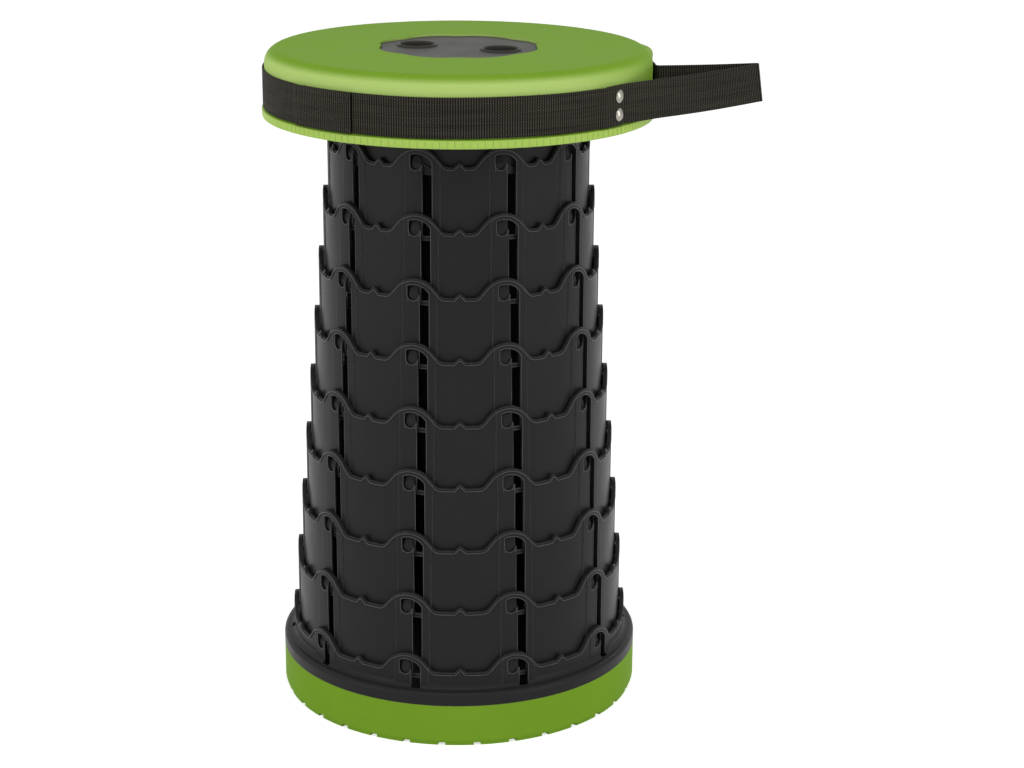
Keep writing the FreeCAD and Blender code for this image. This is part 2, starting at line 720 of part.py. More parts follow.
def seat_supports():
    """Ribs, spigot, screw bosses and recess floor under the seat's top."""
    low = arch_top(LAST) + UNDERSIDE_CLEARANCE
    high = SEAT_TOP - SEAT_WALL / 2
    spigot_outside = sleeve_inside(LAST) - FIT_GAP
    spigot = ring(spigot_outside - SPIGOT_WALL, spigot_outside, flange_top() + FIT_GAP, high)
    bosses = [column(SEAT_BOSS_RADIUS, flange_top() + FIT_GAP, high, at) for at in seat_screw_points()]
    rib_inner = sleeve_inside(LAST) - SPIGOT_WALL
    rib_outer = SEAT_RADIUS - SEAT_WALL - SHOULDER_RADIUS / 4
    rib = Part.makeBox(RIB_WALL, rib_outer - rib_inner, high - low, Vector(-RIB_WALL / 2, -rib_outer, low))
    ribs = around(rib, RIB_COUNT, 180.0 / RIB_COUNT)
    recess = column(PLATE_RADIUS + PLATE_GAP + SEAT_WALL, RECESS_TOP - RECESS_FLOOR, high)
    return [spigot, recess] + bosses + ribs


def seat_cover():
    shell = fused(seat_shell(), seat_supports() + [keeper_lug()])
    recess_depth = SEAT_TOP - RECESS_TOP + 1
    recess = plate_face(PLATE_RADIUS + PLATE_GAP).translated(Vector(0, 0, RECESS_TOP))
    cutters = [recess.extrude(Vector(0, 0, recess_depth))]
    floor = [RECESS_TOP - RECESS_FLOOR - 1, RECESS_TOP + 1]
    tube_radius = LIP_RADIUS + FIT_GAP
    cutters += [column(tube_radius, *floor, at) for at in hole_points()]
    cutters += [column(POST_RADIUS + FIT_GAP, *floor, at) for at in post_points()]
    pilot = [flange_top() - 1, flange_top() + SEAT_SCREW_LENGTH]
    cutters += [column(SEAT_SCREW_RADIUS + HOLE_CLEARANCE, *pilot, at) for at in seat_screw_points()]
    cutters += rivet_holes()
    return shell.cut(cutters)


def seat_screws():
    head_bottom = flange_top() - FLANGE_THICKNESS - FIT_GAP - SEAT_SCREW_HEAD_HEIGHT
    return screws(
        seat_screw_points(),
        head_bottom,
        SEAT_SCREW_HEAD_HEIGHT,
        SEAT_SCREW_HEAD_RADIUS,
        SEAT_SCREW_RADIUS,
        SEAT_SCREW_LENGTH,
    )


def standing(face):
    """Webbing of full width that stands on its edge along a plan outline."""
    return face.translated(Vector(0, 0, STRAP_BOTTOM)).extrude(Vector(0, 0, STRAP_WIDTH))


def layer_face(inner, first, last):
    """Plan outline of webbing that lies round the seat between two angles."""
    outer = inner + STRAP_THICKNESS
    middle = (first + last) / 2
    return outline(
        flat,
        on_circle(inner, first),
        [
            on_circle(inner, middle) + on_circle(inner, last),
            on_circle(outer, last),
            on_circle(outer, middle) + on_circle(outer, first),
        ],
    )


def radial_pin(radius, inner, outer, height):
    """Cylinder along the rivets' radius."""
    pin = Part.makeCylinder(radius, outer - inner, Vector(0, -inner, height), Vector(0, -1, 0))
    return turned(pin, RIVET_ANGLE)


def rivet_heights():
    middle = STRAP_BOTTOM + STRAP_WIDTH / 2
    return [middle - RIVET_SPACING / 2, middle + RIVET_SPACING / 2]


def rivet_holes():
    radius = RIVET_SHANK_RADIUS + FIT_GAP
    outer = STRAP_LAYER_2 + 2 * STRAP_THICKNESS
    return [radial_pin(radius, SEAT_RADIUS - 2 * SEAT_WALL, outer, height) for height in rivet_heights()]


def stepped_face(over_end, over_step, on_step, on_end):
    """Plan outline of webbing that lies over another layer at one end and on the seat at the other."""
    over_outer = STRAP_LAYER_2 + STRAP_THICKNESS
    on_outer = STRAP_LAYER_1 + STRAP_THICKNESS
    over_middle = (over_end + over_step) / 2
    on_middle = (on_step + on_end) / 2
    return outline(
        flat,
        on_circle(STRAP_LAYER_2, over_end),
        [
            on_circle(STRAP_LAYER_2, over_middle) + on_circle(STRAP_LAYER_2, over_step),
            on_circle(STRAP_LAYER_1, on_step),
            on_circle(STRAP_LAYER_1, on_middle) + on_circle(STRAP_LAYER_1, on_end),
            on_circle(on_outer, on_end),
            on_circle(on_outer, on_middle) + on_circle(on_outer, on_step),
            on_circle(over_outer, over_step),
            on_circle(over_outer, over_middle) + on_circle(over_outer, over_end),
        ],
    )


def strap_front():
    """Front band, from under the sewn overlap to its end under the rivets' caps."""
    over_step = STRAP_FRONT_STEP + STRAP_STEP
    face = stepped_face(STRAP_FRONT_END, over_step, STRAP_FRONT_STEP, STRAP_FRONT_START)
    return standing(face).cut(rivet_holes())


def strap_rear():
    """Rear band, from on top of the sewn overlap round the back and through the keeper."""
    far = HANDLE_RETURN + STRAP_END_REACH - 360
    return standing(stepped_face(STRAP_REAR_START, STRAP_REAR_STEP + STRAP_STEP, STRAP_REAR_STEP, far))


def ribbon_face(points):
    """Plan outline of webbing along straight runs, mitred where they meet."""
    half = STRAP_THICKNESS / 2
    path = [flat(*point) for point in points]
    runs = [(end - start).normalize() for start, end in zip(path, path[1:])]
    left = []
    right = []
    for index, point in enumerate(path):
        before = runs[max(index - 1, 0)]
        after = runs[min(index, len(runs) - 1)]
        bisector = (before + after).normalize()
        side = Vector(-bisector.y, bisector.x, 0)
        reach = half / side.dot(Vector(-before.y, before.x, 0))
        left.append(point + side * reach)
        right.append(point - side * reach)
    ends = [(point.x, point.y) for point in left + right[::-1]]
    return outline(flat, ends[0], ends[1:])


def strap_handle():
    """Carrying loop: riveted under the front band, out to its fold, and back along the side to the keeper."""
    half = STRAP_THICKNESS / 2
    fold_x = SEAT_RADIUS + HANDLE_REACH
    fold_y = HANDLE_FOLD_SIDE
    radius = HANDLE_FOLD_RADIUS
    path = [
        on_circle(STRAP_LAYER_1 + half, HANDLE_LEAVES - 1),
        (fold_x, fold_y - radius),
        (fold_x + radius, fold_y),
        (fold_x, fold_y + radius),
        on_circle(STRAP_LAYER_2 + half, HANDLE_RETURN + 0.5),
    ]
    start = standing(layer_face(STRAP_LAYER_1, HANDLE_START, HANDLE_LEAVES))
    end = standing(layer_face(STRAP_LAYER_2, HANDLE_RETURN, KEEPER_ANGLE + STRAP_END_REACH))
    legs = standing(ribbon_face(path))
    return fused(legs, [start, end]).cut(rivet_holes())


def strap_rivets():
    """Domed caps outside the webbing, with shanks that are peened over the washers."""
    seat = STRAP_LAYER_2 + STRAP_THICKNESS + FIT_GAP
    tail = SEAT_RADIUS - SEAT_WALL - 2 * FIT_GAP - WASHER_THICKNESS - RIVET_TAIL_HEIGHT
    crown = seat + RIVET_CAP_HEIGHT
    sphere = (RIVET_CAP_RADIUS ** 2 + RIVET_CAP_HEIGHT ** 2) / (2 * RIVET_CAP_HEIGHT)
    half_way = math.asin(RIVET_CAP_RADIUS / sphere) / 2
    shoulder = (sphere * math.sin(half_way), crown - sphere * (1 - math.cos(half_way)))
    dome = revolved((0, seat), [(RIVET_CAP_RADIUS, seat), shoulder + (0, crown)])
    dome.rotate(Vector(0, 0, 0), Vector(1, 0, 0), 90)
    rivets = []
    for height in rivet_heights():
        cap = turned(dome.translated(Vector(0, 0, height)), RIVET_ANGLE)
        shank = radial_pin(RIVET_SHANK_RADIUS, tail, seat + RIVET_CAP_HEIGHT / 4, height)
        peened = radial_pin(RIVET_TAIL_RADIUS, tail, tail + RIVET_TAIL_HEIGHT, height)
        rivets.append(fused(cap, [shank, peened]))
    return Part.makeCompound(rivets)


def rivet_washers():
    outer = SEAT_RADIUS - SEAT_WALL - FIT_GAP
    inner = outer - WASHER_THICKNESS
    washers = []
    for height in rivet_heights():
        disc = radial_pin(WASHER_RADIUS, inner, outer, height)
        washers.append(disc.cut(radial_pin(RIVET_SHANK_RADIUS + HOLE_CLEARANCE, inner - 1, outer + 1, height)))
    return Part.makeCompound(washers)


def save(name, shape):
    shape.exportStep(os.path.join("parts", name + ".step"))


def main():
    os.makedirs("parts", exist_ok=True)
    save("base_cover", base_cover())
    save("base_sleeve", base_sleeve())
    save("base_screws", base_screws())
    for index in range(1, LAST):
        save("sleeve_%d" % index, inner_sleeve(index))
    save("sleeve_%d" % LAST, seat_sleeve())
    save("seat_cover", seat_cover())
    save("seat_screws", seat_screws())
    save("finger_plate", finger_plate())
    save("finger_plate_screws", finger_plate_screws())
    save("strap_front", strap_front())
    save("strap_rear", strap_rear())
    save("strap_handle", strap_handle())
    save("strap_rivets", strap_rivets())
    save("rivet_washers", rivet_washers())


main()
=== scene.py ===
"""Looks of the collapsible telescopic stool: edge beads, grip ribs, webbing and finishes around its solids.

Metres. +Z is up, the front is -Y, and angles round the stool are counted from the front towards +X.
"""

import math

import bmesh
import bpy
from mathutils import Matrix, Vector


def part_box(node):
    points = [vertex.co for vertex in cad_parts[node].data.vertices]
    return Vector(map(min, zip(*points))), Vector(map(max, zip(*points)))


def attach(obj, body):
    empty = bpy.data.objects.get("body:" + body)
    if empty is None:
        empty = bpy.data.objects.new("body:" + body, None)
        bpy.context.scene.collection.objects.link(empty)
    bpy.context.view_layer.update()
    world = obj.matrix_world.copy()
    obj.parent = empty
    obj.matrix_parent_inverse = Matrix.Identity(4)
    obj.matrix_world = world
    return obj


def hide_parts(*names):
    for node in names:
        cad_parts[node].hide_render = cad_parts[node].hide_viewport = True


bl_info = {
    "name": "Collapsible telescopic stool",
    "version": (1, 0, 0),
    "blender": (4, 5, 0),
    "location": "View3D > Sidebar > Stool",
    "description": "Dresses a telescopic stool with its trim, webbing and finishes",
    "category": "Object",
}

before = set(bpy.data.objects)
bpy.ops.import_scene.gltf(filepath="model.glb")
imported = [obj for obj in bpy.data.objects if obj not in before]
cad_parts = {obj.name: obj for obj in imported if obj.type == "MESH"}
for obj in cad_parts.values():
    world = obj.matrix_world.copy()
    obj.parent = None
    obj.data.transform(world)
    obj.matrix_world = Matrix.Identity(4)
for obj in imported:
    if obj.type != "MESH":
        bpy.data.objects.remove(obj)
SLEEVES = ["base_sleeve"] + ["sleeve_%d" % number for number in range(1, 10)]
MILLIMETRE = 0.001
MERGE_DISTANCE = 0.01 * MILLIMETRE  # joins the loose triangles of a solid
BEAD_SPACING = 0.25 * MILLIMETRE  # shortest piece of the path of a bead or lip
SKIN_DEPTH = 0.3 * MILLIMETRE  # a wall that goes deeper than this is more than the side of a raised band
MARGIN = 0.1 * MILLIMETRE  # allowance where a point is held against a radius
WRAP_SIDES = 720  # sides of the cylinder that a bead is laid on
WEBBING_ROWS = 12  # rows of faces across the webbing
FOLD_STEPS = 6  # straight pieces round the fold of the carrying loop
FACES_OUT = 0.9  # outwardness of a sleeve's outside
FACES_AWAY = 0.5  # outwardness below which a face is an edge or a wall
BEVEL_SAMPLES = 6  # rays that look for an edge
EDGE_FACING = (0.98, 0.8)  # cosine between rounded and flat normal: from no paler edge to the full paler edge, partly wear and partly painted highlight
NOISE_RANGE = (0.3, 0.7)  # nearly all of a noise lies in here
HIGHLIGHT_FOOT = (-0.35, 0.05)  # tilt of the normal over which the painted highlight on the seat's shoulder starts
HIGHLIGHT_TOP = (0.9, 0.4)  # tilt of the normal over which the painted highlight ends at the flat top
HIGHLIGHT_SIDE = Vector((-0.35, -0.9))  # side of the shoulder where the painted highlight is strongest, in plan
SEAT_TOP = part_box("seat_cover")[1].z
SEAT_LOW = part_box("seat_cover")[0].z
WEBBING_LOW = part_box("strap_front")[0].z
WEBBING_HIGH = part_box("strap_front")[1].z
WEBBING_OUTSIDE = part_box("strap_rear")[1].y


def linear(hex_colour):
    """Linear colour of an sRGB hex value."""
    channels = [int(hex_colour[start:start + 2], 16) / 255 for start in (0, 2, 4)]
    bent = [value / 12.92 if value <= 0.04045 else ((value + 0.055) / 1.055) ** 2.4 for value in channels]
    return (*bent, 1.0)


def length(name, description, default):
    return bpy.props.FloatProperty(name=name, description=description, default=default, unit="LENGTH", precision=5)


def angle(name, description, degrees):
    return bpy.props.FloatProperty(name=name, description=description, default=math.radians(degrees), unit="ROTATION")


def colour(name, description, hex_colour):
    return bpy.props.FloatVectorProperty(
        name=name, description=description, default=linear(hex_colour), size=4, subtype="COLOR", min=0, max=1
    )


class StoolTrim(bpy.types.PropertyGroup):
    """Sizes of the trim that is added to the moulded pieces."""

    sleeve_radius: length("Sleeve radius", "Outside of the outermost sleeve", 0.1165)
    sleeve_step: length("Sleeve step", "Difference in radius between one sleeve and the next", 0.00364)
    scallop_height: length("Scallop height", "From an arch's top to the lowest point of the edge", 0.0135)
    arch_radius: length("Arch radius", "Radius of the round top of an arch", 0.0160)
    band_relief: length("Band relief", "How far the band round a slot stands out", 0.0005)
    slot_count: bpy.props.IntProperty(name="Slots", description="Slots round a sleeve", default=10)
    first_slot: angle("First slot", "Middle of the first arch past the front", 18.3)
    slot_reach: length("Slot reach", "Farthest edge of a slot from the middle of its arch", 0.0110)
    bead_radius: length("Bead radius", "Radius of the bead along a scalloped edge", 0.00035)
    bead_stand: length("Bead stand", "How far the bead's middle lies outside the sleeve", 0.00035)
    bead_drop: length("Bead drop", "How far the bead lies below the edge", 0.0017)
    lip_radius: length("Lip radius", "Radius of the lip round a slot", 0.0003)
    lip_raise: length("Lip raise", "Keeps the lips off the floor that a sleeve folds onto", 0.00036)
    arch_margin: length("Arch margin", "How far inside an arch's edge its pocket must lie", 0.0020)
    rib_count: bpy.props.IntProperty(name="Grip ribs", description="Ribs round the seat's rim", default=176)
    rib_width: length("Rib width", "Width of one grip rib", 0.0041)
    rib_stand: length("Rib stand", "How far a grip rib stands out of the rim", 0.0003)
    rib_low: length("Rib low", "Foot of a grip rib above the seat's lower edge", 0.0003)
    rib_high: length("Rib high", "Top of a grip rib above the seat's lower edge", 0.0049)
    rib_round: length("Rib rounding", "Rounding of a grip rib's edges", 0.00025)


class StoolWebbing(bpy.types.PropertyGroup):
    """Sizes and places of the webbing straps."""

    thickness: length("Thickness", "Thickness of the webbing", 0.0012)
    layer_gap: length("Layer gap", "Space between one layer of webbing and the next", 0.0002)
    rib_pitch: length("Rib pitch", "Spacing of the cross ribs of the weave", 0.0016)
    thread_pitch: length("Thread pitch", "Spacing of the lengthwise lines of the weave", 0.0019)
    front_start: angle("Front start", "Where the front band starts, under the sewn overlap", -49)
    front_step: angle("Front step", "Where the front band steps up over the start of the loop", 41.5)
    front_end: angle("Front end", "Where the front band ends, past the rivets", 52.6)
    rear_start: angle("Rear start", "Free edge of the sewn overlap", -30.5)
    rear_step: angle("Rear step", "Where the rear band leaves the overlap", -51)
    climb: angle("Climb", "Turn in which a band climbs onto another layer", 3)
    handle_start: angle("Loop start", "Hidden end of the carrying loop, under the front band", 46)
    handle_leaves: angle("Loop leaves", "Where the carrying loop leaves the seat", 53.4)
    handle_returns: angle("Loop returns", "Where the carrying loop comes back to the seat", 89)
    keeper: angle("Keeper", "Middle of the lug that keeps the loop's end", 106)
    keeper_reach: angle("Keeper reach", "How far a hidden end runs on", 3)
    fold_out: length("Fold out", "How far the loop's fold lies from the stool's axis", 0.2000)
    fold_side: length("Fold side", "How far the loop's fold lies behind the middle", 0.0040)
    fold_radius: length("Fold radius", "Radius of the loop's fold", 0.0016)
    fold_lean: length("Fold lean", "How much farther out the fold lies at its lower edge", 0.0034)
    fold_rise: length("Fold rise", "How much higher the fold lies than the seat's webbing", 0.0005)
    loop_sag: length("Loop sag", "How far the loop sags half-way to its fold", 0.0005)
    loop_bow: length("Loop bow", "How far the loop's front leg bows forward", 0.0008)
    return_bow: length("Return bow", "How far the loop's rear leg bows back", 0.0012)
    return_stand: length("Return stand", "How far the loop stands off where it comes back", 0.0015)
    waver: length("Waver", "Slight rise and fall of the bands", 0.00012)
    waver_rate: bpy.props.FloatProperty(name="Waver rate", description="Radians of waver in a metre", default=55)
    stitch_length: length("Stitch length", "Length of one stitch", 0.0022)
    stitch_pitch: length("Stitch pitch", "Distance from one stitch to the next", 0.0030)
    stitch_radius: length("Stitch radius", "Half the width of a stitch", 0.00028)
    seam_inset: length("Seam inset", "From the webbing's edge to its seam", 0.0022)


class StoolColours(bpy.types.PropertyGroup):
    """Colours of the finishes."""

    black: colour("Black plastic", "Sleeves", "292929")
    # Paler edges: partly wear, partly painted highlight.
    scuffed_and_highlight: colour("Scuffed black", "Worn edges of the sleeves", "6a6a6a")
    # Painted highlight: a paler black for the bright lines along beads and lips.
    bead_highlight_black: colour("Lip black", "Rubbed beads and lips of the sleeves", "444444")
    green: colour("Green plastic", "Seat and base", "7da62f")
    # Paler edges: partly wear, partly painted highlight.
    worn_green: colour("Worn green", "Rubbed edges of the green pieces", "b0d05c")
    # Painted highlight along the seat's round shoulder.
    shoulder_highlight_green: colour("Shoulder green", "Rubbed round shoulder of the seat", "bcd97c")
    # Painted sheen: the ribs' paler green stands in for the light on them.
    rib_sheen_green: colour("Rib green", "Raised grip ribs, polished lighter", "b4d562")
    plate: colour("Grey plastic", "Finger plate", "403f3b")
    # Paler edges: partly wear, partly painted highlight.
    worn_plate: colour("Worn grey", "Rubbed edges of the finger plate", "62615c")
    webbing: colour("Webbing", "Hollows of the weave", "0b0b0a")
    # Painted sheen on the crowns of the threads.
    webbing_crown_sheen: colour("Webbing light", "Crowns of the threads", "625f53")
    thread: colour("Sewing thread", "Box and cross stitching", "1b1b19")
    nickel: colour("Nickel", "Rivets and washers", "98958c")
    zinc: colour("Zinc", "Screws", "b4b6b8")


class StoolStage(bpy.types.PropertyGroup):
    """Camera, lamps and floor."""

    camera_place: bpy.props.FloatVectorProperty(
        name="Camera place", description="Where the camera stands", default=(0.0, -1.4962, 0.6736), subtype="XYZ"
    )
    camera_pitch: angle("Camera pitch", "How far the camera looks down", 17.03)
    camera_turn: angle("Camera turn", "How far the camera looks to its right", 1.404)
    camera_roll: angle("Camera roll", "Tilt of the camera", 0.35)
    camera_lens: bpy.props.FloatProperty(name="Lens", description="Focal length in millimetres", default=79.3)
    side_power: bpy.props.FloatProperty(name="Side lamps", description="Power of each side lamp, watts", default=15)
    top_power: bpy.props.FloatProperty(name="Top lamp", description="Power of the top lamp, watts", default=7)
    fill: bpy.props.FloatProperty(name="Fill", description="Strength of the light from all round", default=0.4)
    floor_glow: bpy.props.FloatProperty(name="Floor glow", description="Keeps the floor pale", default=0.62)
    floor_reach: length("Floor reach", "Half the width of the floor", 8.0)


def deselect_all():
    bpy.ops.object.select_all(action="DESELECT")


def make_active(piece):
    deselect_all()
    piece.select_set(True)
    bpy.context.view_layer.objects.active = piece


def apply_modifier(piece, kind, **settings):
    """Adds a modifier with its settings and applies it."""
    make_active(piece)
    modifier = piece.modifiers.new(kind.title(), kind)
    for name, value in settings.items():
        setattr(modifier, name, value)
    bpy.ops.object.modifier_apply(modifier=modifier.name)


def settle(piece):
    """Puts a piece's place into its mesh, so that its object sits at the origin."""
    make_active(piece)
    bpy.ops.object.transform_apply(location=True, rotation=True, scale=True)


def on_circle(radius, turn):
    return radius * math.sin(turn), -radius * math.cos(turn)


def dress(piece, material):
    """Gives a piece one material all over."""
    if not piece.data.materials:
        piece.data.materials.append(material)
    for slot in piece.material_slots:
        slot.material = material


def place_piece(piece, material, body):
    """Finishes a new piece: its material and the body it rides on."""
    dress(piece, material)
    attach(piece, body)


def add_node(tree, kind, links=None, **settings):
    """Adds a node, sets its own settings, and feeds its sockets from other sockets or plain values."""
    node = tree.nodes.new(kind)
    for name, value in settings.items():
        setattr(node, name, value)
    for name, source in (links or {}).items():
        if isinstance(source, bpy.types.NodeSocket):
            tree.links.new(source, node.inputs[name])
        else:
            node.inputs[name].default_value = source
    return node


def math_node(tree, operation, *values):
    return add_node(tree, "ShaderNodeMath", dict(enumerate(values)), operation=operation).outputs["Value"]


def mixed_colour(tree, factor, first, second):
    """Mixes two colours, each a socket or a plain colour."""
    return add_node(tree, "ShaderNodeMix", {0: factor, 6: first, 7: second}, data_type="RGBA").outputs[2]


def shaded_colour(tree, tint, shade):
    """A plain colour, made lighter or darker by a socket."""
    links = {0: tint[:3], "Scale": shade}
    return add_node(tree, "ShaderNodeVectorMath", links, operation="SCALE").outputs["Vector"]


def object_place(tree):
    return add_node(tree, "ShaderNodeTexCoord").outputs["Object"]


def stretched(tree, vector, scale):
    return add_node(tree, "ShaderNodeMapping", {"Vector": vector, "Scale": scale}).outputs["Vector"]


def noise(tree, place, scale, detail=2.0):
    return add_node(tree, "ShaderNodeTexNoise", {"Vector": place, "Scale": scale, "Detail": detail}).outputs["Fac"]


def ranged(tree, value, source, target=(0.0, 1.0), **settings):
    """Maps a value from one range to another, each given as its two ends."""
    links = {"Value": value, "From Min": source[0], "From Max": source[1], "To Min": target[0], "To Max": target[1]}
    return add_node(tree, "ShaderNodeMapRange", links, **settings).outputs["Result"]


def relief(tree, height, strength, depth, **normal):
    """Normal that follows a height, on top of another normal where one is given."""
    links = {"Height": height, "Strength": strength, "Distance": depth, **normal}
    return add_node(tree, "ShaderNodeBump", links).outputs["Normal"]


def ridges(tree, count):
    """Rounded ridges, one for each whole step of a count."""
    return math_node(tree, "ABSOLUTE", math_node(tree, "SINE", math_node(tree, "MULTIPLY", count, math.pi)))


def start_material(name, **constants):
    """A new material with its shader, whose constant values sit on the shader's own sockets."""
    material = bpy.data.materials.new(name)
    material.use_nodes = True
    shader = material.node_tree.nodes["Principled BSDF"]
    for socket, value in constants.items():
        shader.inputs[socket.replace("_", " ")].default_value = value
    return material, material.node_tree, shader


def feed(tree, shader, **sources):
    """Feeds some of the shader's sockets from other sockets."""
    for socket, source in sources.items():
        tree.links.new(source, shader.inputs[socket.replace("_", " ")])


def edge_wear_and_highlight(tree, rounding):
    """Normal with rounded edges, and a mask that is 1 on the edges and 0 on flat faces."""
    rounded = add_node(tree, "ShaderNodeBevel", {"Radius": rounding}, samples=BEVEL_SAMPLES).outputs["Normal"]
    flat = add_node(tree, "ShaderNodeNewGeometry").outputs["Normal"]
    facing = add_node(tree, "ShaderNodeVectorMath", {0: rounded, 1: flat}, operation="DOT_PRODUCT")
    return rounded, ranged(tree, facing.outputs["Value"], EDGE_FACING)


def moulded_plastic(name, body, worn, rough, gloss_level, grain_size, grain_depth, rounding):
    """Injection-moulded plastic: cloudy flow in the gloss, a fine spark-eroded grain and paler edges, partly wear and
    partly painted highlight.
    """
    material, tree, shader = start_material(name, Specular_IOR_Level=gloss_level)
    place = object_place(tree)
    normal, edges = edge_wear_and_highlight(tree, rounding)
    flow = noise(tree, place, scale=38.0, detail=3.0)
    gloss = ranged(tree, flow, NOISE_RANGE, (rough - 0.035, rough + 0.035))
    tone = shaded_colour(tree, body, ranged(tree, flow, (0.0, 1.0), (0.94, 1.06)))
    # Paler edges in speckles: partly wear, partly painted highlight.
    wear_and_highlight = math_node(tree, "MULTIPLY", edges, noise(tree, place, scale=420.0))
    grain = noise(tree, place, scale=1 / grain_size)
    feed(
        tree,
        shader,
        Base_Color=mixed_colour(tree, wear_and_highlight, tone, worn),
        Roughness=gloss,
        Normal=relief(tree, grain, 0.5, grain_depth, Normal=normal),
    )
    return material


def black_polypropylene():
    """Satin moulded polypropylene: the polished mould gives it broad soft highlights."""
    tint = bpy.context.scene.stool_colours
    return moulded_plastic(
        "moulded_black_polypropylene",
        body=tint.black,
        worn=tint.scuffed_and_highlight,
        rough=0.36,
        gloss_level=0.07,
        grain_size=0.9 * MILLIMETRE,
        grain_depth=0.04 * MILLIMETRE,
        rounding=0.7 * MILLIMETRE,
    )


def bead_highlight_polypropylene():
    """The sleeves' plastic on beads and lips, painted paler as a painted highlight along these raised lines."""
    tint = bpy.context.scene.stool_colours
    return moulded_plastic(
        "black_polypropylene_bead_highlight",
        body=tint.bead_highlight_black,
        worn=tint.scuffed_and_highlight,
        rough=0.34,
        gloss_level=0.3,
        grain_size=0.9 * MILLIMETRE,
        grain_depth=0.04 * MILLIMETRE,
        rounding=0.2 * MILLIMETRE,
    )


def green_polypropylene():
    """Matt spark-eroded polypropylene: its fine grain breaks every highlight up into an even sheen."""
    tint = bpy.context.scene.stool_colours
    return moulded_plastic(
        "moulded_green_polypropylene",
        body=tint.green,
        worn=tint.worn_green,
        rough=0.46,
        gloss_level=0.01,
        grain_size=0.8 * MILLIMETRE,
        grain_depth=0.06 * MILLIMETRE,
        rounding=0.5 * MILLIMETRE,
    )


def seat_polypropylene():
    """The green plastic of the seat, with a painted highlight along its round shoulder, strongest at the front left.
    """
    material = green_polypropylene()
    material.name = "moulded_seat_polypropylene"
    tree = material.node_tree
    shader = tree.nodes["Principled BSDF"]
    normal = add_node(tree, "ShaderNodeTexCoord").outputs["Normal"]
    facing = add_node(tree, "ShaderNodeSeparateXYZ", {"Vector": normal}).outputs
    # Painted highlight: the shoulder turns paler where its normal tilts forward, most of all facing front left.
    rising = ranged(tree, facing["Z"], HIGHLIGHT_FOOT, interpolation_type="SMOOTHSTEP")
    falling = ranged(tree, facing["Z"], HIGHLIGHT_TOP, interpolation_type="SMOOTHSTEP")
    sideways = math_node(tree, "MULTIPLY", facing["X"], HIGHLIGHT_SIDE.x)
    forward = math_node(tree, "MULTIPLY", facing["Y"], HIGHLIGHT_SIDE.y)
    toward_highlight = ranged(tree, math_node(tree, "ADD", sideways, forward), (-0.1, 0.55), (0.1, 0.95))
    wear_and_highlight = math_node(tree, "MULTIPLY", math_node(tree, "MULTIPLY", rising, falling), toward_highlight)
    unworn = shader.inputs["Base Color"].links[0].from_socket
    feed(tree, shader, Base_Color=mixed_colour(tree, wear_and_highlight, unworn, bpy.context.scene.stool_colours.shoulder_highlight_green))
    return material


def rib_polypropylene():
    """The same green plastic where ribs are thin and polished; their paler colour is a painted sheen."""
    tint = bpy.context.scene.stool_colours
    return moulded_plastic(
        "moulded_rib_polypropylene",
        body=tint.rib_sheen_green,
        worn=tint.rib_sheen_green,
        rough=0.42,
        gloss_level=0.12,
        grain_size=0.8 * MILLIMETRE,
        grain_depth=0.04 * MILLIMETRE,
        rounding=0.3 * MILLIMETRE,
    )


def grey_abs():
    """Satin moulded ABS: a little glossier and cooler than the polypropylene round it."""
    tint = bpy.context.scene.stool_colours
    return moulded_plastic(
        "moulded_grey_abs",
        body=tint.plate,
        worn=tint.worn_plate,
        rough=0.36,
        gloss_level=0.02,
        grain_size=1.0 * MILLIMETRE,
        grain_depth=0.03 * MILLIMETRE,
        rounding=0.4 * MILLIMETRE,
    )


def woven_polypropylene():
    """Flat polypropylene webbing: heavy cross ribs, each crossed by lengthwise threads that alternate rib by rib."""
    name = "woven_black_polypropylene_webbing"
    if name in bpy.data.materials:
        return bpy.data.materials[name]
    colours = bpy.context.scene.stool_colours
    webbing = bpy.context.scene.stool_webbing
    material, tree, shader = start_material(name, Specular_IOR_Level=0.03)
    place = add_node(tree, "ShaderNodeUVMap", uv_map="weave").outputs["UV"]
    parts = add_node(tree, "ShaderNodeSeparateXYZ", {"Vector": place})
    along = math_node(tree, "DIVIDE", parts.outputs["X"], webbing.rib_pitch)
    across = math_node(tree, "DIVIDE", parts.outputs["Y"], webbing.thread_pitch)
    odd_rib = math_node(tree, "MODULO", math_node(tree, "FLOOR", along), 2.0)
    threads = ridges(tree, math_node(tree, "MULTIPLY_ADD", odd_rib, 0.5, across))
    weave = math_node(tree, "MULTIPLY", ridges(tree, along), math_node(tree, "MULTIPLY_ADD", threads, 0.3, 0.7))
    fibres = noise(tree, object_place(tree), scale=900.0, detail=3.0)
    streaks = noise(tree, stretched(tree, place, (14.0, 900.0, 1.0)), scale=1.0)
    crowns = math_node(tree, "POWER", weave, 2.0)
    # Painted sheen: the crowns of the weave are made paler, in lengthwise streaks.
    lit = math_node(tree, "MULTIPLY", crowns, math_node(tree, "MULTIPLY_ADD", streaks, 1.1, 0.1))
    height = math_node(tree, "MULTIPLY_ADD", fibres, 0.25, weave)
    feed(
        tree,
        shader,
        Base_Color=mixed_colour(tree, lit, colours.webbing, colours.webbing_crown_sheen),
        Roughness=math_node(tree, "MULTIPLY_ADD", fibres, 0.2, 0.5),
        Normal=relief(tree, height, 0.9, 0.35 * MILLIMETRE),
    )
    return material


def sewing_thread():
    """Twisted polyester thread: fine slanting plies give it a broken gloss."""
    colours = bpy.context.scene.stool_colours
    material, tree, shader = start_material("twisted_polyester_thread", Roughness=0.55, Specular_IOR_Level=0.4)
    links = {"Vector": object_place(tree), "Scale": 900.0, "Distortion": 1.5}
    plies = add_node(tree, "ShaderNodeTexWave", links, bands_direction="DIAGONAL").outputs["Fac"]
    feed(
        tree,
        shader,
        Base_Color=mixed_colour(tree, plies, colours.thread, colours.webbing),
        Normal=relief(tree, plies, 0.5, 0.1 * MILLIMETRE),
    )
    return material


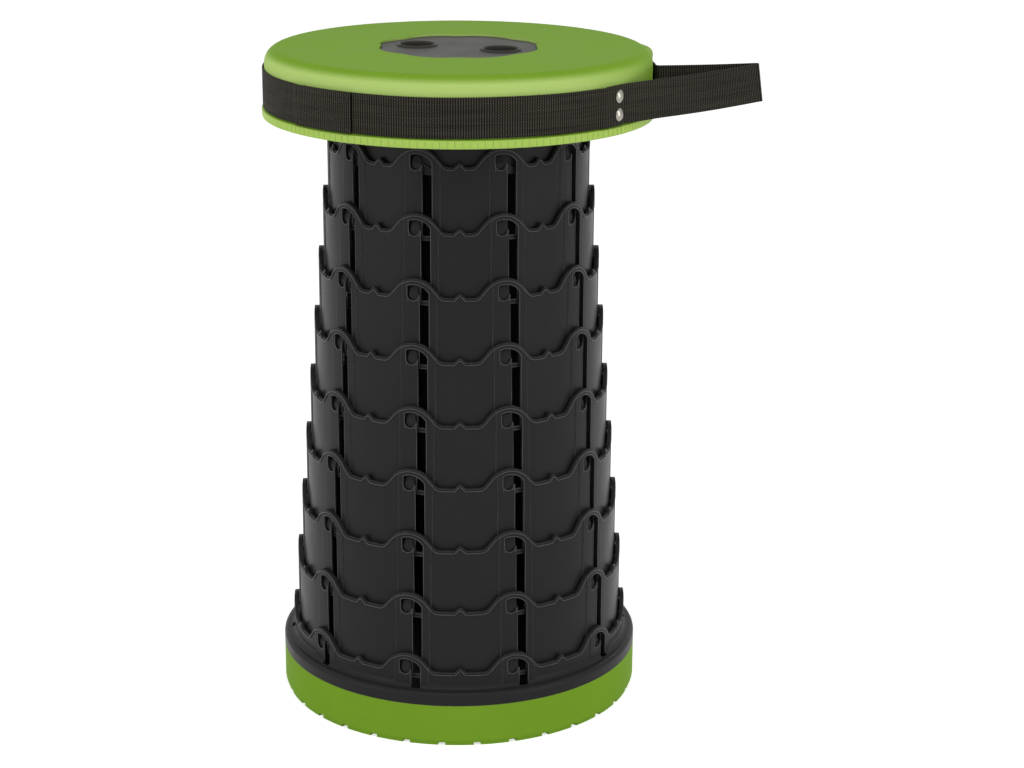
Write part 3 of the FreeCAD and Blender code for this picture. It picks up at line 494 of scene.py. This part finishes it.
def plated_metal(name, tint, rough, mark_size):
    """Plated metal: bright, with faint tumbling marks that vary its gloss."""
    material, tree, shader = start_material(name, Metallic=1.0)
    marks = noise(tree, object_place(tree), scale=1 / mark_size, detail=4.0)
    feed(
        tree,
        shader,
        Base_Color=shaded_colour(tree, tint, ranged(tree, marks, (0.0, 1.0), (0.88, 1.05))),
        Roughness=ranged(tree, marks, NOISE_RANGE, (rough - 0.05, rough + 0.08)),
        Normal=relief(tree, marks, 0.2, 0.02 * MILLIMETRE),
    )
    return material


def nickel_plate():
    """Bright nickel on steel: mirror-like, and slightly warm."""
    tint = bpy.context.scene.stool_colours.nickel
    return plated_metal("bright_nickel_plate", tint, rough=0.16, mark_size=1.2 * MILLIMETRE)


def zinc_plate():
    """Zinc-plated steel: duller and bluer than nickel."""
    tint = bpy.context.scene.stool_colours.zinc
    return plated_metal("zinc_plated_steel", tint, rough=0.34, mark_size=0.8 * MILLIMETRE)


def merged_copy(node_name, piece_name):
    """A copy of a moulded node with its loose triangles merged, in edit mode with nothing selected."""
    piece = bpy.data.objects.new(piece_name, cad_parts[node_name].data.copy())
    bpy.context.scene.collection.objects.link(piece)
    piece.data.materials.clear()
    make_active(piece)
    bpy.ops.mesh.customdata_custom_splitnormals_clear()
    bpy.ops.object.mode_set(mode="EDIT")
    bpy.ops.mesh.select_mode(type="EDGE")
    bpy.ops.mesh.select_all(action="SELECT")
    bpy.ops.mesh.remove_doubles(threshold=MERGE_DISTANCE)
    bpy.ops.mesh.select_all(action="DESELECT")
    return piece


def outwardness(face):
    """How squarely a face looks away from the stool's axis: 1 is straight out."""
    middle = face.calc_center_median()
    return face.normal.dot(Vector((middle.x, middle.y, 0)).normalized())


def is_scalloped_edge(edge, low, reach):
    """True for an edge between the sleeve's outside and its scalloped top."""
    if len(edge.link_faces) != 2:
        return False
    if min(vertex.co.z for vertex in edge.verts) < low:
        return False
    if max(vertex.co.xy.length for vertex in edge.verts) > reach:
        return False
    outside, top = sorted(edge.link_faces, key=outwardness, reverse=True)
    return outwardness(outside) > FACES_OUT and outwardness(top) < FACES_AWAY and top.normal.z > 0.2


def keep_edges(piece, wanted):
    """Keeps only the edges that a test picks, as loose edges."""
    mesh = bmesh.from_edit_mesh(piece.data)
    mesh.normal_update()
    for edge in [edge for edge in mesh.edges if wanted(edge)]:
        edge.select_set(True)
    bmesh.update_edit_mesh(piece.data)
    bpy.ops.mesh.duplicate()
    bpy.ops.mesh.select_all(action="INVERT")
    bpy.ops.mesh.delete(type="VERT")
    bpy.ops.object.mode_set(mode="OBJECT")


def wrap_to_cylinder(piece, radius, low, high):
    """Moves a piece's points onto an upright cylinder round the stool's axis."""
    deselect_all()
    bpy.ops.mesh.primitive_cylinder_add(
        vertices=WRAP_SIDES,
        radius=radius,
        depth=high - low,
        location=(0, 0, (low + high) / 2),
        end_fill_type="NOTHING",
    )
    cylinder = bpy.context.object
    apply_modifier(piece, "SHRINKWRAP", target=cylinder, wrap_method="NEAREST_SURFACEPOINT")
    bpy.data.objects.remove(cylinder)


def round_tube(piece, radius, rise):
    """Turns loose edges into a round bead, moved up or down by a little."""
    make_active(piece)
    bpy.ops.object.mode_set(mode="EDIT")
    bpy.ops.mesh.select_all(action="SELECT")
    bpy.ops.mesh.remove_doubles(threshold=BEAD_SPACING)
    bpy.ops.transform.translate(value=(0, 0, rise))
    bpy.ops.object.mode_set(mode="OBJECT")
    bpy.ops.object.convert(target="CURVE")
    piece = bpy.context.object
    piece.data.bevel_depth = radius
    piece.data.bevel_resolution = 2
    piece.data.use_fill_caps = True
    bpy.ops.object.convert(target="MESH")
    piece = bpy.context.object
    bpy.ops.object.shade_smooth()
    return piece


def is_slot_edge(edge, trim, radius, top):
    """True for an edge between a sleeve's outside and the wall of a slot or of its pocket."""
    if len(edge.link_faces) != 2:
        return False
    outside, wall = sorted(edge.link_faces, key=outwardness, reverse=True)
    if outwardness(outside) < FACES_OUT or outwardness(wall) > FACES_AWAY:
        return False
    if min(vertex.co.xy.length for vertex in wall.verts) > radius - SKIN_DEPTH:
        return False
    middle = (edge.verts[0].co + edge.verts[1].co) / 2
    pitch = 2 * math.pi / trim.slot_count
    turn = math.atan2(middle.x, -middle.y) - trim.first_slot
    across = middle.xy.length * math.sin(turn - pitch * round(turn / pitch))
    below = middle.z - (top - trim.arch_radius)
    inside_arch = below < 0 or math.hypot(across, below) < trim.arch_radius - trim.arch_margin
    return abs(across) < trim.slot_reach and inside_arch


def slot_lip(number, trim):
    """Rounded lip along the edges of a sleeve's slots and pockets, raised clear of the floor it folds onto."""
    node = SLEEVES[number]
    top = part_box(node)[1].z
    radius = trim.sleeve_radius - number * trim.sleeve_step
    piece = merged_copy(node, "slot_lip_" + node)
    keep_edges(piece, lambda edge: is_slot_edge(edge, trim, radius, top))
    return round_tube(piece, trim.lip_radius, trim.lip_raise)


def edge_bead(number, trim):
    """Bead that follows a sleeve's scalloped edge, just below it."""
    node = SLEEVES[number]
    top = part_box(node)[1].z
    radius = trim.sleeve_radius - number * trim.sleeve_step
    low = top - trim.scallop_height
    reach = radius + trim.band_relief + MARGIN
    piece = merged_copy(node, "edge_bead_" + node)
    keep_edges(piece, lambda edge: is_scalloped_edge(edge, low, reach))
    wrap_to_cylinder(piece, radius + trim.bead_stand, low - trim.scallop_height, top + trim.scallop_height)
    return round_tube(piece, trim.bead_radius, -trim.bead_drop)


class STOOL_OT_sleeves(bpy.types.Operator):
    """Finishes the ten sleeves, and runs a bead along each scalloped edge and a lip round each slot"""

    bl_idname = "stool.sleeves"
    bl_label = "Sleeves"

    def execute(self, context):
        trim = context.scene.stool_trim
        moulded = black_polypropylene()
        # Beads and lips get the black plastic with a painted highlight.
        wear_and_highlight = bead_highlight_polypropylene()
        for node in SLEEVES:
            dress(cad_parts[node], moulded)
        for number, node in enumerate(SLEEVES[:-1]):
            body = "base" if number == 0 else node
            place_piece(edge_bead(number, trim), wear_and_highlight, body)
            place_piece(slot_lip(number, trim), wear_and_highlight, body)
        return {"FINISHED"}


class STOOL_OT_base(bpy.types.Operator):
    """Finishes the treaded base cover"""

    bl_idname = "stool.base"
    bl_label = "Base"

    def execute(self, context):
        dress(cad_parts["base_cover"], green_polypropylene())
        return {"FINISHED"}


def grip_ribs(trim):
    """Rounded ribs round the rim of the seat, modelled once and set round it."""
    rim_radius = -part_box("seat_cover")[0].x
    low = SEAT_LOW + trim.rib_low
    high = SEAT_LOW + trim.rib_high
    deselect_all()
    bpy.ops.mesh.primitive_cube_add(size=1, location=(0, -rim_radius, (low + high) / 2))
    rib = bpy.context.object
    rib.name = "grip_ribs"
    bpy.ops.object.mode_set(mode="EDIT")
    bpy.ops.transform.resize(value=(trim.rib_width, 2 * trim.rib_stand, high - low))
    bpy.ops.mesh.select_all(action="SELECT")
    bpy.ops.mesh.bevel(offset=trim.rib_round, segments=2)
    bpy.ops.object.mode_set(mode="OBJECT")
    settle(rib)
    set_round(rib, trim.rib_count)
    return rib


def set_round(piece, count):
    """Copies a piece round the stool's axis."""
    deselect_all()
    bpy.ops.object.empty_add(location=(0, 0, 0))
    pivot = bpy.context.object
    pivot.rotation_euler.z = 2 * math.pi / count
    bpy.context.view_layer.update()
    apply_modifier(
        piece,
        "ARRAY",
        fit_type="FIXED_COUNT",
        count=count,
        use_relative_offset=False,
        use_object_offset=True,
        offset_object=pivot,
    )
    bpy.data.objects.remove(pivot)


class STOOL_OT_seat(bpy.types.Operator):
    """Finishes the seat and sets the grip ribs round its rim"""

    bl_idname = "stool.seat"
    bl_label = "Seat"

    def execute(self, context):
        dress(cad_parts["seat_cover"], seat_polypropylene())
        place_piece(grip_ribs(context.scene.stool_trim), rib_polypropylene(), "seat")
        return {"FINISHED"}


class STOOL_OT_finger_plate(bpy.types.Operator):
    """Finishes the plate with the two finger holes"""

    bl_idname = "stool.finger_plate"
    bl_label = "Finger plate"

    def execute(self, context):
        dress(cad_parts["finger_plate"], grey_abs())
        return {"FINISHED"}


class STOOL_OT_fasteners(bpy.types.Operator):
    """Finishes the rivets, their washers and the screws"""

    bl_idname = "stool.fasteners"
    bl_label = "Fasteners"

    def execute(self, context):
        nickel = nickel_plate()
        zinc = zinc_plate()
        for node in ("strap_rivets", "rivet_washers"):
            dress(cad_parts[node], nickel)
        for node in ("base_screws", "seat_screws", "finger_plate_screws"):
            dress(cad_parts[node], zinc)
        return {"FINISHED"}


def arc(radius, first, last, spacing=1.0 * MILLIMETRE):
    """Points in plan along a circle round the stool's axis."""
    steps = max(2, round(abs(last - first) * radius / spacing))
    return [on_circle(radius, first + (last - first) * step / steps) for step in range(steps + 1)]


def step_between(first_radius, last_radius, first, last, spacing=1.0 * MILLIMETRE):
    """Points in plan where webbing climbs smoothly from one layer to another."""
    steps = max(4, round(abs(last - first) * first_radius / spacing))
    points = []
    for step in range(1, steps):
        share = step / steps
        eased = share * share * (3 - 2 * share)
        points.append(on_circle(first_radius + (last_radius - first_radius) * eased, first + (last - first) * share))
    return points


def straight(start, end, bow, spacing=2.0 * MILLIMETRE):
    """Points in plan between two places, bowed a little to the right of the way."""
    here = Vector(start)
    run = Vector(end) - here
    side = Vector((run.y, -run.x)).normalized()
    steps = max(2, round(run.length / spacing))
    return [
        tuple(here + run * share + side * bow * math.sin(math.pi * share))
        for share in [step / steps for step in range(1, steps)]
    ]


def layer(webbing, number):
    """Radius of the middle of a layer of webbing. The first layer lies on the seat."""
    first = WEBBING_OUTSIDE - webbing.thickness / 2
    return first + (number - 1) * (webbing.thickness + webbing.layer_gap)


def webbing_strip(name, path, shape, thickness):
    """Flat webbing that stands on its edge along a path in plan. shape moves a point by its place on the strip."""
    rows = WEBBING_ROWS
    width = WEBBING_HIGH - WEBBING_LOW
    mesh = bmesh.new()
    weave = mesh.loops.layers.uv.new("weave")
    distances = [0.0]
    for here, there in zip(path, path[1:]):
        distances.append(distances[-1] + math.dist(here, there))
    grid = []
    for (x, y), distance in zip(path, distances):
        column = []
        for row in range(rows + 1):
            share = row / rows
            point = Vector((x, y, WEBBING_LOW + width * share))
            column.append(mesh.verts.new(point + shape(point, distance, share)))
        grid.append(column)
    for index in range(len(path) - 1):
        for row in range(rows):
            corners = ((index, row), (index + 1, row), (index + 1, row + 1), (index, row + 1))
            face = mesh.faces.new([grid[column][height] for column, height in corners])
            face.smooth = True
            for loop, (column, height) in zip(face.loops, corners):
                loop[weave].uv = (distances[column], width * height / rows)
    piece = bpy.data.objects.new(name, bpy.data.meshes.new(name))
    mesh.to_mesh(piece.data)
    mesh.free()
    bpy.context.scene.collection.objects.link(piece)
    apply_modifier(piece, "SOLIDIFY", thickness=thickness, offset=0.0, use_even_offset=True)
    limit = math.radians(60)
    apply_modifier(piece, "BEVEL", width=0.3 * thickness, segments=2, limit_method="ANGLE", angle_limit=limit)
    return piece, (width, distances[-1])


def uneven(point, distance, share):
    """Webbing that stays at one height, apart from a slight unevenness."""
    webbing = bpy.context.scene.stool_webbing
    return Vector((0, 0, webbing.waver * math.sin(distance * webbing.waver_rate)))


def leaning(point, distance, share):
    """The loop leaves the seat upright, and leans out at the foot of its fold."""
    webbing = bpy.context.scene.stool_webbing
    out = (point.x - WEBBING_OUTSIDE) / (webbing.fold_out - WEBBING_OUTSIDE)
    out = min(max(out, 0.0), 1.0)
    sag = webbing.loop_sag * math.sin(math.pi * out)
    return Vector((webbing.fold_lean * (1 - share) * out, 0, webbing.fold_rise * out - sag))


def finish_strap(piece, node):
    """Rides a strap on the seat in place of its solid, as a flat sheet."""
    place_piece(piece, woven_polypropylene(), "seat")
    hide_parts(node)


class STOOL_OT_front_strap(bpy.types.Operator):
    """Lays the front band from the sewn overlap round to the rivets"""

    bl_idname = "stool.front_strap"
    bl_label = "Front strap"

    def execute(self, context):
        webbing = context.scene.stool_webbing
        low = webbing.front_step
        high = webbing.front_step + webbing.climb
        path = arc(layer(webbing, 1), webbing.front_start, low)
        path += step_between(layer(webbing, 1), layer(webbing, 2), low, high)
        path += arc(layer(webbing, 2), high, webbing.front_end)
        piece, flat = webbing_strip("webbing_front", path, uneven, webbing.thickness)
        finish_strap(piece, "strap_front")
        return {"FINISHED"}


class STOOL_OT_rear_strap(bpy.types.Operator):
    """Lays the rear band from the sewn overlap round the back and through the keeper"""

    bl_idname = "stool.rear_strap"
    bl_label = "Rear strap"

    def execute(self, context):
        webbing = context.scene.stool_webbing
        high = webbing.rear_step
        low = webbing.rear_step - webbing.climb
        last = webbing.handle_returns + 2 * webbing.keeper_reach - 2 * math.pi
        path = arc(layer(webbing, 2), webbing.rear_start, high)
        path += step_between(layer(webbing, 2), layer(webbing, 1), high, low)
        path += arc(layer(webbing, 1), low, last)
        piece, flat = webbing_strip("webbing_rear", path, uneven, webbing.thickness)
        finish_strap(piece, "strap_rear")
        return {"FINISHED"}


class STOOL_OT_carrying_loop(bpy.types.Operator):
    """Runs the carrying loop from the rivets out to its fold, and back along the seat through the keeper"""

    bl_idname = "stool.carrying_loop"
    bl_label = "Carrying loop"

    def execute(self, context):
        webbing = context.scene.stool_webbing
        first = layer(webbing, 1)
        second = layer(webbing, 2)
        leaves = on_circle(first, webbing.handle_leaves)
        radius = webbing.fold_radius
        near = (webbing.fold_out - radius, webbing.fold_side - radius)
        far = (webbing.fold_out - radius, webbing.fold_side + radius)
        bend = on_circle(second + webbing.return_stand, webbing.handle_returns)
        path = arc(first, webbing.handle_start, webbing.handle_leaves)[:-1]
        path += [leaves] + straight(leaves, near, webbing.loop_bow) + [near]
        for step in range(1, FOLD_STEPS):
            turn = math.pi * step / FOLD_STEPS
            path.append((near[0] + radius * math.sin(turn), webbing.fold_side - radius * math.cos(turn)))
        path += [far] + straight(far, bend, webbing.return_bow) + [bend]
        path += arc(second, webbing.handle_returns + webbing.climb / 3, webbing.keeper + webbing.keeper_reach)
        piece, flat = webbing_strip("webbing_loop", path, leaning, webbing.thickness)
        finish_strap(piece, "strap_handle")
        return {"FINISHED"}


def stitch_places(webbing):
    """Middle and slope of each stitch of the box and its cross, as distance round the strap and height."""
    radius = layer(webbing, 2)
    left = webbing.rear_step * radius + webbing.seam_inset
    right = webbing.rear_start * radius - webbing.seam_inset
    low = WEBBING_LOW + webbing.seam_inset
    high = WEBBING_HIGH - webbing.seam_inset
    corners = [(left, low), (right, low), (right, high), (left, high)]
    lines = list(zip(corners, corners[1:] + corners[:1]))
    lines += [(corners[0], corners[2]), (corners[1], corners[3])]
    places = []
    for start, end in lines:
        run = Vector(end) - Vector(start)
        count = max(2, round(run.length / webbing.stitch_pitch))
        slope = math.atan2(run.y, run.x)
        for step in range(count):
            middle = Vector(start) + run * (step + 0.5) / count
            places.append((middle.x / radius, middle.y, slope))
    return places


def one_stitch(webbing):
    """A single stitch that dips into the webbing at both ends, lying along X."""
    deselect_all()
    bpy.ops.mesh.primitive_uv_sphere_add(segments=10, ring_count=6, radius=1)
    stitch = bpy.context.object
    bpy.ops.object.mode_set(mode="EDIT")
    bpy.ops.transform.resize(value=(webbing.stitch_length / 2, webbing.stitch_radius, webbing.stitch_radius))
    bpy.ops.object.mode_set(mode="OBJECT")
    bpy.ops.object.shade_smooth()
    return stitch


class STOOL_OT_stitching(bpy.types.Operator):
    """Sews the overlap of the two straps with a box and a cross"""

    bl_idname = "stool.stitching"
    bl_label = "Stitching"

    def execute(self, context):
        webbing = context.scene.stool_webbing
        surface = layer(webbing, 2) + webbing.thickness / 2
        pattern = one_stitch(webbing)
        stitches = []
        for turn, height, slope in stitch_places(webbing):
            x, y = on_circle(surface, turn)
            stitch = bpy.data.objects.new("stitch", pattern.data.copy())
            bpy.context.scene.collection.objects.link(stitch)
            place = Matrix.Translation((x, y, height)) @ Matrix.Rotation(turn, 4, "Z")
            stitch.data.transform(place @ Matrix.Rotation(-slope, 4, "Y"))
            stitches.append(stitch)
        bpy.data.objects.remove(pattern)
        deselect_all()
        for stitch in stitches:
            stitch.select_set(True)
        bpy.context.view_layer.objects.active = stitches[0]
        bpy.ops.object.join()
        seam = bpy.context.object
        seam.name = "overlap_stitching"
        place_piece(seam, sewing_thread(), "seat")
        return {"FINISHED"}


def aim(obj, target):
    """Turns a lamp to look at a point."""
    direction = Vector(target) - obj.location
    obj.rotation_euler = direction.to_track_quat("-Z", "Y").to_euler()


def soft_lamp(name, place, width, height, power):
    """Large soft box that looks at the middle of the stool."""
    deselect_all()
    bpy.ops.object.light_add(type="AREA", location=place)
    lamp = bpy.context.object
    lamp.name = name
    lamp.data.shape = "RECTANGLE"
    lamp.data.size = width
    lamp.data.size_y = height
    lamp.data.energy = power
    aim(lamp, (0, 0, SEAT_TOP / 2))


def studio_camera(stage):
    """Camera at the photograph's angle."""
    deselect_all()
    bpy.ops.object.camera_add(location=stage.camera_place)
    camera = bpy.context.object
    pitch, turn, roll = stage.camera_pitch, stage.camera_turn, stage.camera_roll
    forward = Vector((math.sin(turn) * math.cos(pitch), math.cos(turn) * math.cos(pitch), -math.sin(pitch)))
    right = Vector((math.cos(turn), -math.sin(turn), 0))
    up = right.cross(forward)
    rolled_right = right * math.cos(roll) + up * math.sin(roll)
    rolled_up = up * math.cos(roll) - right * math.sin(roll)
    camera.rotation_euler = Matrix((rolled_right, rolled_up, -forward)).transposed().to_euler()
    camera.data.lens = stage.camera_lens
    bpy.context.scene.camera = camera


def seen_directly(tree):
    """1 for rays that see the plain white background, straight or in gloss and glass, and 0 for light."""
    path = add_node(tree, "ShaderNodeLightPath")
    seen = math_node(tree, "MAXIMUM", path.outputs["Is Camera Ray"], path.outputs["Is Glossy Ray"])
    return math_node(tree, "MAXIMUM", seen, path.outputs["Is Transmission Ray"])


def studio_world(stage):
    """White where it is seen, and a soft grey fill for everything else."""
    world = bpy.data.worlds.new("studio")
    world.use_nodes = True
    tree = world.node_tree
    background = tree.nodes["Background"]
    background.inputs["Color"].default_value = (1, 1, 1, 1)
    strength = ranged(tree, seen_directly(tree), (0.0, 1.0), (stage.fill, 1.0))
    feed(tree, background, Strength=strength)
    bpy.context.scene.world = world


def floor_paint(stage):
    """Matt white paint that glows a little where it is seen directly, and keeps the stool's shadow."""
    material, tree, shader = start_material("matt_white_floor_paint", Roughness=0.9)
    shader.inputs["Emission Color"].default_value = (1, 1, 1, 1)
    mottle = noise(tree, object_place(tree), scale=3.0)
    tone = mixed_colour(tree, mottle, linear("f4f4f4"), linear("f7f7f7"))
    glow = math_node(tree, "MULTIPLY", seen_directly(tree), stage.floor_glow)
    feed(tree, shader, Base_Color=tone, Emission_Strength=glow)
    return material


class STOOL_OT_stage(bpy.types.Operator):
    """Lays the floor, sets the soft lamps and the background, and places the camera"""

    bl_idname = "stool.stage"
    bl_label = "Stage"

    def execute(self, context):
        stage = context.scene.stool_stage
        deselect_all()
        bpy.ops.mesh.primitive_plane_add(size=2 * stage.floor_reach)
        floor = bpy.context.object
        floor.name = "studio_floor"
        settle(floor)
        dress(floor, floor_paint(stage))
        soft_lamp("soft_box_left", place=(-1.8, -1.2, 0.6), width=1.0, height=2.0, power=stage.side_power)
        soft_lamp("soft_box_right", place=(1.8, -1.1, 0.6), width=1.0, height=2.0, power=stage.side_power)
        soft_lamp("soft_box_top", place=(0.0, -0.5, 1.9), width=1.1, height=0.5, power=stage.top_power)
        studio_world(stage)
        studio_camera(stage)
        context.scene.view_settings.view_transform = "Standard"
        return {"FINISHED"}


STEPS = (
    STOOL_OT_sleeves,
    STOOL_OT_base,
    STOOL_OT_seat,
    STOOL_OT_finger_plate,
    STOOL_OT_fasteners,
    STOOL_OT_front_strap,
    STOOL_OT_rear_strap,
    STOOL_OT_carrying_loop,
    STOOL_OT_stitching,
    STOOL_OT_stage,
)


class STOOL_PT_panel(bpy.types.Panel):
    """Lists the steps that dress the stool"""

    bl_idname = "STOOL_PT_panel"
    bl_label = "Stool"
    bl_space_type = "VIEW_3D"
    bl_region_type = "UI"
    bl_category = "Stool"

    def draw(self, context):
        for step in STEPS:
            self.layout.operator(step.bl_idname)


GROUPS = {
    "stool_trim": StoolTrim,
    "stool_webbing": StoolWebbing,
    "stool_colours": StoolColours,
    "stool_stage": StoolStage,
}


def register():
    for group in GROUPS.values():
        bpy.utils.register_class(group)
    for name, group in GROUPS.items():
        setattr(bpy.types.Scene, name, bpy.props.PointerProperty(type=group))
    for step in STEPS:
        bpy.utils.register_class(step)
    bpy.utils.register_class(STOOL_PT_panel)


def unregister():
    bpy.utils.unregister_class(STOOL_PT_panel)
    for step in reversed(STEPS):
        bpy.utils.unregister_class(step)
    for name, group in GROUPS.items():
        delattr(bpy.types.Scene, name)
        bpy.utils.unregister_class(group)


def main():
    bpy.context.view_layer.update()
    register()
    bpy.ops.stool.sleeves()
    bpy.ops.stool.base()
    bpy.ops.stool.seat()
    bpy.ops.stool.finger_plate()
    bpy.ops.stool.fasteners()
    bpy.ops.stool.front_strap()
    bpy.ops.stool.rear_strap()
    bpy.ops.stool.carrying_loop()
    bpy.ops.stool.stitching()
    bpy.ops.stool.stage()


if __name__ == "__main__":
    main()
